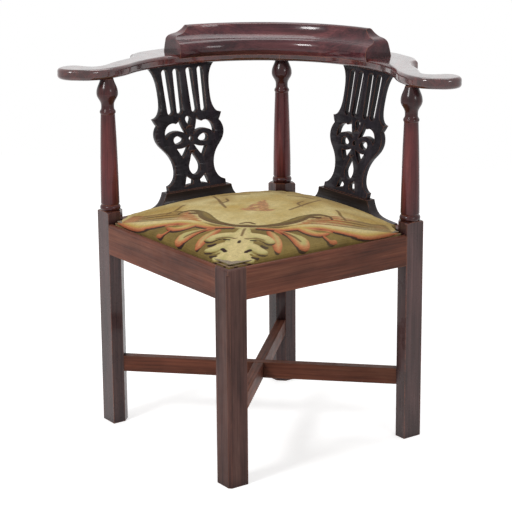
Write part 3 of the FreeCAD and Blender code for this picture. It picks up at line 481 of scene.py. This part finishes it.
# The stuffing's underside, level within this height, is carried down to the hem.
FLAT_WITHIN = 0.0005
HEM_LEVEL = COVER_LOW + 0.0003
PINNED_BELOW = RAIL_TOP + 0.003
SWELL_PRESSURE = 4
SWELL_FRAMES = 20
SWELL_CAP = 0.006
SWELL_CAP_REACH = 0.05
EDGE_CAP = 0.0015
SEAT_HALF = 0.2215
EDGE_DROP = 0.006
EDGE_DROP_REACH = 0.035
CORNER_DROP = 0.005
CORNER_DROP_REACH = 0.10
DROP_EASE = 0.004
OPENING_HALF = 0.191
OPENING_CORNER = 0.045
OPENING_LOW = COVER_LOW - 0.01
OPENING_HIGH = SACKING_LOW + 0.0005


def coordinates(mesh):
    """A mesh's points as rows of x, y and z."""
    flat = np.empty(len(mesh.vertices) * 3, np.float32)
    mesh.vertices.foreach_get("co", flat)
    return flat.reshape(-1, 3)


def apply_modifiers(item):
    """Keep an object's modified shape as its own mesh."""
    shown = item.evaluated_get(bpy.context.evaluated_depsgraph_get())
    mesh = bpy.data.meshes.new_from_object(shown)
    item.modifiers.clear()
    item.data = mesh


def eased(share):
    """A smooth rise from 0 to 1."""
    share = np.clip(share, 0, 1)
    return share * share * (3 - 2 * share)


def from_edges(points):
    """How far each point lies inside the seat's square, and where it lies, both along its sides."""
    across = (points[:, 0] - MIDDLE.x, points[:, 1] - MIDDLE.y)
    turned = np.stack((across[0] + across[1], across[1] - across[0]), axis=1) / math.sqrt(2)
    return SEAT_HALF - np.abs(turned), turned


def stuffed_form():
    """The stuffing grown by the cover's thickness, with its edge carried down to the hem."""
    item = bpy.data.objects.new("seat_cushion", nodes["seat_stuffing"].data.copy())
    scene.collection.objects.link(item)
    points = coordinates(item.data)
    low = points[:, 2].min()
    middle = np.array((MIDDLE.x, MIDDLE.y))
    points[:, :2] = middle + (points[:, :2] - middle) * COVER_GROWTH
    points[points[:, 2] < low + FLAT_WITHIN, 2] = HEM_LEVEL
    item.data.vertices.foreach_set("co", points.ravel())
    weld = item.modifiers.new("weld", "WELD")
    weld.merge_threshold = 0.00005
    remesh = item.modifiers.new("voxels", "REMESH")
    remesh.mode = "VOXEL"
    remesh.voxel_size = VOXEL
    smooth = item.modifiers.new("ease", "SMOOTH")
    smooth.factor = 0.5
    smooth.iterations = 3
    apply_modifiers(item)
    points = coordinates(item.data)
    aside, _ = from_edges(points)
    drop = EDGE_DROP * (1 - eased(aside.min(axis=1) / EDGE_DROP_REACH))
    drop += CORNER_DROP * (1 - eased(aside.sum(axis=1) / CORNER_DROP_REACH))
    points[:, 2] -= drop * eased((points[:, 2] - PINNED_BELOW) / DROP_EASE)
    item.data.vertices.foreach_set("co", points.ravel())
    return item


def swell(item):
    """Cloth simulation under pressure; what lies inside the rebate stays where it is."""
    start = coordinates(item.data)
    pinned = item.vertex_groups.new(name="in_the_rebate")
    pinned.add([int(i) for i in np.flatnonzero(start[:, 2] < PINNED_BELOW)], 1.0, "REPLACE")
    cloth = item.modifiers.new("swell", "CLOTH")
    cloth.settings.vertex_group_mass = pinned.name
    cloth.settings.use_pressure = True
    cloth.settings.uniform_pressure_force = SWELL_PRESSURE
    cloth.settings.effector_weights.gravity = 0
    cloth.point_cache.frame_start = 1
    cloth.point_cache.frame_end = SWELL_FRAMES
    for number in range(1, SWELL_FRAMES + 1):
        scene.frame_set(number)
    apply_modifiers(item)
    scene.frame_set(1)
    moved = coordinates(item.data) - start
    reach = np.linalg.norm(moved, axis=1, keepdims=True)
    aside, _ = from_edges(start)
    inward = eased(aside.min(axis=1, keepdims=True) / SWELL_CAP_REACH)
    cap = EDGE_CAP + (SWELL_CAP - EDGE_CAP) * inward
    moved *= np.minimum(1, cap / np.maximum(reach, 1e-9))
    item.data.vertices.foreach_set("co", (start + moved).ravel())
    item.vertex_groups.clear()


def prism(name, half, corner, bottom, top):
    """An upright prism over the seat's square with its corners cut off."""
    near = half - corner
    outline = [(half, near), (near, half), (-near, half), (-half, near),
               (-half, -near), (-near, -half), (near, -half), (half, -near)]
    turn = math.cos(DIAGONAL)
    points = [(MIDDLE.x + (a - b) * turn, MIDDLE.y + (a + b) * turn, level)
              for level in (bottom, top) for a, b in outline]
    count = len(outline)
    faces = [tuple(range(count))[::-1], tuple(range(count, 2 * count))]
    faces += [(i, (i + 1) % count, (i + 1) % count + count, i + count) for i in range(count)]
    mesh = bpy.data.meshes.new(name)
    mesh.from_pydata(points, [], faces)
    item = bpy.data.objects.new(name, mesh)
    scene.collection.objects.link(item)
    return item


def cushion():
    """Stuffing and cover as one padded piece, open underneath where the webbing shows."""
    item = stuffed_form()
    swell(item)
    fine = item.modifiers.new("finer", "SUBSURF")
    fine.levels = fine.render_levels = 1
    apply_modifiers(item)
    opening = prism("opening", OPENING_HALF, OPENING_CORNER, OPENING_LOW, OPENING_HIGH)
    hollow = item.modifiers.new("hem_opening", "BOOLEAN")
    hollow.operation = "DIFFERENCE"
    hollow.solver = "EXACT"
    hollow.object = opening
    apply_modifiers(item)
    bpy.data.objects.remove(opening)
    for polygon in item.data.polygons:
        polygon.use_smooth = True
    dress(item, needlework(item.data))
    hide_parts("seat_cover", "seat_stuffing")
    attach(item, "drop_in_seat")


# Needlework: each motif is one or more tapering strokes, given in millimetres from the seat's
# middle as x, y and half the width, and drawn again mirrored left to right.

SCROLL = [
    [(0, -134, 8), (24, -133, 6), (46, -124, 7), (64, -112, 9), (80, -94, 12), (94, -70, 13),
     (104, -48, 9), (118, -32, 7), (134, -26, 5), (147, -28, 3.5), (153, -40, 2.5)],
    [(110, -54, 3.5), (121, -47, 4.5), (131, -43, 3)],
    [(-14, -118, 3), (0, -112, 4), (14, -120, 3)],
]
SIDE_LEAF = [
    [(26, -148, 6), (66, -146, 9), (100, -124, 14), (134, -98, 22), (172, -88, 29),
     (206, -76, 28), (236, -56, 22), (260, -36, 15), (284, -20, 9)],
    [(100, -130, 8), (124, -140, 12), (142, -138, 9), (156, -126, 4)],
]
LOBES = [
    [(62, -152, 5), (88, -162, 10), (110, -176, 17), (116, -186, 15)],
    [(48, -160, 5), (62, -180, 10), (72, -204, 10), (76, -226, 5)],
    [(150, -140, 4), (164, -148, 6), (172, -140, 4)],
]
PALMETTE = [
    [(0, -156, 12), (0, -200, 26), (0, -246, 27), (0, -292, 15)],
    [(0, -176, 12), (24, -182, 14), (46, -190, 14), (58, -200, 10)],
    [(8, -214, 12), (32, -228, 15), (50, -238, 11)],
    [(6, -244, 10), (26, -264, 14), (36, -272, 9)],
]
PALMETTE_EYES = [
    [(20, -240, 4.5), (26, -234, 4)],
    [(0, -208, 3.5), (0, -202, 3)],
    [(15, -292, 4), (20, -302, 4)],
    [(44, -214, 3), (54, -219, 4.5)],
    [(20, -196, 2), (30, -198, 2.5)],
    [(34, -254, 2.5), (46, -258, 4)],
]
VEINS = [
    [(112, 104, 1.2), (94, 66, 2), (78, 24, 2.4), (64, -8, 1.6)],
    [(80, 78, 1.2), (72, 52, 2), (84, 30, 1.4)],
    [(154, 22, 1.2), (167, -5, 2), (177, -30, 1.4)],
    [(40, 128, 1.4), (68, 124, 2.2), (96, 108, 1.6)],
    [(76, -154, 1.2), (96, -164, 1.8), (112, -176, 1.4)],
    [(0, -150, 2), (0, -182, 1.4)],
    [(8, -190, 1), (28, -188, 1.4), (46, -194, 1)],
]
SHADES = [
    [(0, 196, 16), (62, 156, 20), (118, 112, 24), (160, 66, 18)],
    [(84, 92, 10), (80, 62, 13), (96, 40, 9)],
    [(170, 14, 10), (206, 4, 14), (240, -6, 10)],
    [(120, -76, 8), (150, -52, 12), (196, -36, 12), (232, -28, 8)],
]
MEDALLION = [
    [(0, 66, 4), (0, 42, 11), (0, 12, 20), (0, -8, 20)],
    [(0, -12, 14), (18, -16, 12), (28, -16, 7)],
]
FAN_COUNT = 6
FAN_STEP = 13


def fan():
    """Fine lines that follow the side leaf into the seat's corners."""
    lines = []
    for number in range(FAN_COUNT):
        lift = FAN_STEP * number
        lines.append([(96 + 7 * number, -104 + lift, 1), (136 + 5 * number, -84 + lift, 1.6),
                      (180, -72 + 0.9 * lift, 2), (220, -58 + 0.7 * lift, 1.6),
                      (262 - 3 * number, -34 + 0.4 * lift, 1)])
    return lines


# Below this level the pattern runs on down the cushion's sides.
HANG_LEVEL = RAIL_TOP + 0.010
HANG_REACH = 0.012
# Beyond these places, in millimetres, the pattern is stretched towards the corners.
STRETCH_X = 150
STRETCH_Y = -130
STRETCH = 1.08
LIT_SHIFT = 10
LIT_SPAN = (-0.010, 0.020)
# The cream field starts at a line that runs further back on both sides.
FIELD_START = 152
FIELD_SLOPE = 0.42
FIELD_EDGE = 0.006
OUTSIDE = -60.0
STITCH = 0.0018
WAVER = 0.0018
OLIVE = (0.25, 0.17, 0.045)
OLIVE_DEEP = (0.13, 0.085, 0.028)
CREAM = (0.58, 0.43, 0.16)
CREAM_LIGHT = (0.70, 0.57, 0.27)
CREAM_GREEN = (0.52, 0.45, 0.18)
YELLOW = (0.56, 0.37, 0.10)
TAN = (0.42, 0.27, 0.08)
CORAL = (0.42, 0.10, 0.040)
CORAL_PALE = (0.58, 0.24, 0.10)
BROWN = (0.16, 0.085, 0.03)
BROWN_DARK = (0.035, 0.016, 0.012)
RUST = (0.36, 0.15, 0.075)


def rounded(stroke, parts=6):
    """A stroke's points joined by a smooth curve."""
    points = np.array(stroke, float)
    ends = np.vstack((2 * points[0] - points[1], points, 2 * points[-1] - points[-2]))
    out = []
    for one, two, three, four in zip(ends, ends[1:], ends[2:], ends[3:]):
        for t in np.linspace(0, 1, parts, endpoint=False):
            out.append(0.5 * (2 * two + (three - one) * t
                              + (2 * one - 5 * two + 4 * three - four) * t * t
                              + (3 * two - one - 3 * three + four) * t ** 3))
    out.append(points[-1])
    return np.array(out)


def depth_inside(places, strokes):
    """How far each place lies inside a motif; less than 0 outside it."""
    best = np.full(len(places), OUTSIDE)
    for stroke in strokes:
        line = rounded(stroke)
        for start, end in zip(line[:-1], line[1:]):
            along = end[:2] - start[:2]
            share = np.clip((places - start[:2]) @ along / max(along @ along, 1e-9), 0, 1)
            gap = np.linalg.norm(places - start[:2] - share[:, None] * along, axis=1)
            best = np.maximum(best, start[2] + share * (end[2] - start[2]) - gap)
    return best


def draw_motifs(mesh):
    """Leave each motif's depth, in metres, on the mesh's points for the material to colour.

    The second depth of a motif is that of a copy moved inwards, which lights its inner side.
    """
    points = coordinates(mesh)
    aside, turned = from_edges(points)
    hung = np.maximum(0, HANG_LEVEL - points[:, 2:]) * (1 - eased(aside / HANG_REACH))
    turned = (turned + np.sign(turned) * hung) * 1000 / math.sqrt(2)
    across = np.abs(turned[:, 0] - turned[:, 1])
    along = turned[:, 0] + turned[:, 1]
    along = np.where(along < STRETCH_Y, STRETCH_Y + (along - STRETCH_Y) / STRETCH, along)
    across = np.where(across > STRETCH_X, STRETCH_X + (across - STRETCH_X) / STRETCH, across)
    places = np.stack((across, along), axis=1)
    motifs = {"scroll": SCROLL, "side_leaf": SIDE_LEAF, "lobes": LOBES, "palmette": PALMETTE,
              "palmette_eyes": PALMETTE_EYES, "veins": VEINS, "fan": fan(), "shades": SHADES,
              "medallion": MEDALLION}
    depths = {name: depth_inside(places, strokes) for name, strokes in motifs.items()}
    for name in ("scroll", "side_leaf", "lobes", "palmette"):
        depths[name + "_lit"] = depth_inside(places - np.array((0, LIT_SHIFT)), motifs[name])
    depths["field"] = along + FIELD_START - FIELD_SLOPE * across
    for name, values in depths.items():
        layer = mesh.attributes.new(name, "FLOAT", "POINT")
        layer.data.foreach_set("value", values.astype(np.float32) / 1000)


def needlework(mesh):
    """The pattern worked motif over motif, in rows of stitches, with fading and wear."""
    draw_motifs(mesh)
    material, tree, shader = new_material("needlework")
    place = stretched(tree, (0, 0, DIAGONAL), EVEN)
    waver = tree.nodes.new("ShaderNodeMapRange")
    waver.inputs["To Min"].default_value = -WAVER
    waver.inputs["To Max"].default_value = WAVER
    tree.links.new(noise(tree, place, scale=190, detail=3, rough=0.7), waver.inputs["Value"])

    def depth(name, low, high):
        """A motif's depth, with the stitches' unevenness, from 0 at low to 1 at high."""
        layer = tree.nodes.new("ShaderNodeAttribute")
        layer.attribute_name = name
        add = tree.nodes.new("ShaderNodeMath")
        tree.links.new(layer.outputs["Fac"], add.inputs[0])
        tree.links.new(waver.outputs[0], add.inputs[1])
        span = tree.nodes.new("ShaderNodeMapRange")
        span.inputs["From Min"].default_value = low
        span.inputs["From Max"].default_value = high
        tree.links.new(add.outputs[0], span.inputs["Value"])
        return span.outputs[0]

    def lay(colour, name, tone, soft=0.0008, strength=1.0, grow=0.0):
        """Work one motif over what is there."""
        cover = ramp(tree, depth(name, -soft - grow, soft - grow), (0.0, 0.0), (1.0, strength))
        return mix(tree, "MIX", cover, colour, tone)

    def lit(name, *stops):
        """Tones from a motif's outer side to its inner side."""
        return ramp(tree, depth(name + "_lit", *LIT_SPAN), *stops)

    drift = noise(tree, place, scale=9, detail=4, rough=0.6)
    speckle = noise(tree, place, scale=150, detail=3, rough=0.8)
    field = ramp(tree, drift, (0.30, YELLOW), (0.42, CREAM), (0.58, CREAM_LIGHT))
    olive = ramp(tree, drift, (0.3, OLIVE_DEEP), (0.55, OLIVE))
    colour = mix(tree, "MIX", depth("field", -FIELD_EDGE, FIELD_EDGE), olive, field)
    colour = lay(colour, "shades", TAN, soft=0.014, strength=0.8, grow=0.004)
    leaf = lit("side_leaf", (0.17, BROWN_DARK), (0.23, CORAL), (0.42, CORAL_PALE),
               (0.58, YELLOW), (0.85, CREAM_LIGHT))
    colour = lay(colour, "side_leaf", leaf)
    colour = lay(colour, "fan", ramp(tree, drift, (0.45, BROWN), (0.55, CORAL)),
                 soft=0.0015, strength=0.85, grow=0.0014)
    leaf = lit("lobes", (0.18, BROWN_DARK), (0.24, CORAL), (0.46, CORAL_PALE),
               (0.7, CREAM_GREEN))
    colour = lay(colour, "lobes", leaf)
    leaf = lit("scroll", (0.06, BROWN_DARK), (0.2, BROWN), (0.5, OLIVE_DEEP), (0.7, OLIVE))
    colour = lay(colour, "scroll", leaf)
    leaf = lit("palmette", (0.16, BROWN_DARK), (0.22, OLIVE), (0.4, CREAM_GREEN),
               (0.8, CREAM_LIGHT))
    colour = lay(colour, "palmette", leaf)
    colour = lay(colour, "palmette_eyes", BROWN_DARK)
    colour = lay(colour, "veins", BROWN, soft=0.0012, strength=0.85, grow=0.001)
    knots = ramp(tree, noise(tree, place, scale=95, detail=2, rough=0.5),
                 (0.45, RUST), (0.56, CORAL_PALE), (0.66, CREAM))
    colour = lay(colour, "medallion", knots, soft=0.003, strength=0.85)
    colour = mix(tree, "MULTIPLY", 0.35, colour, ramp(tree, speckle, (0.35, 0.55), (0.62, 1.15)))
    fade = noise(tree, place, scale=5, detail=4, rough=0.6)
    colour = mix(tree, "MIX", ramp(tree, fade, (0.45, 0.0), (0.75, 0.14)), colour, CREAM_LIGHT)
    rows = [ramp(tree, bands(tree, place, direction, math.pi / (10 * STITCH)),
                 (0.0, 0.25), (1.0, 1.0)) for direction in ("X", "Y")]
    stitches = mix(tree, "MULTIPLY", 1.0, *rows)
    colour = mix(tree, "MULTIPLY", 0.45, colour, ramp(tree, stitches, (0.0, 0.55), (0.6, 1.1)))
    tree.links.new(colour, shader.inputs["Base Color"])
    shader.inputs["Roughness"].default_value = 0.92
    shader.inputs["Sheen Weight"].default_value = 0.05
    shader.inputs["Specular IOR Level"].default_value = 0.15
    bump(tree, shader, stitches, distance=0.0005, strength=0.6)
    return material


scene.view_settings.view_transform = "Standard"
camera()
studio()
floor()
woodwork()
iron()
linings()
cushion()
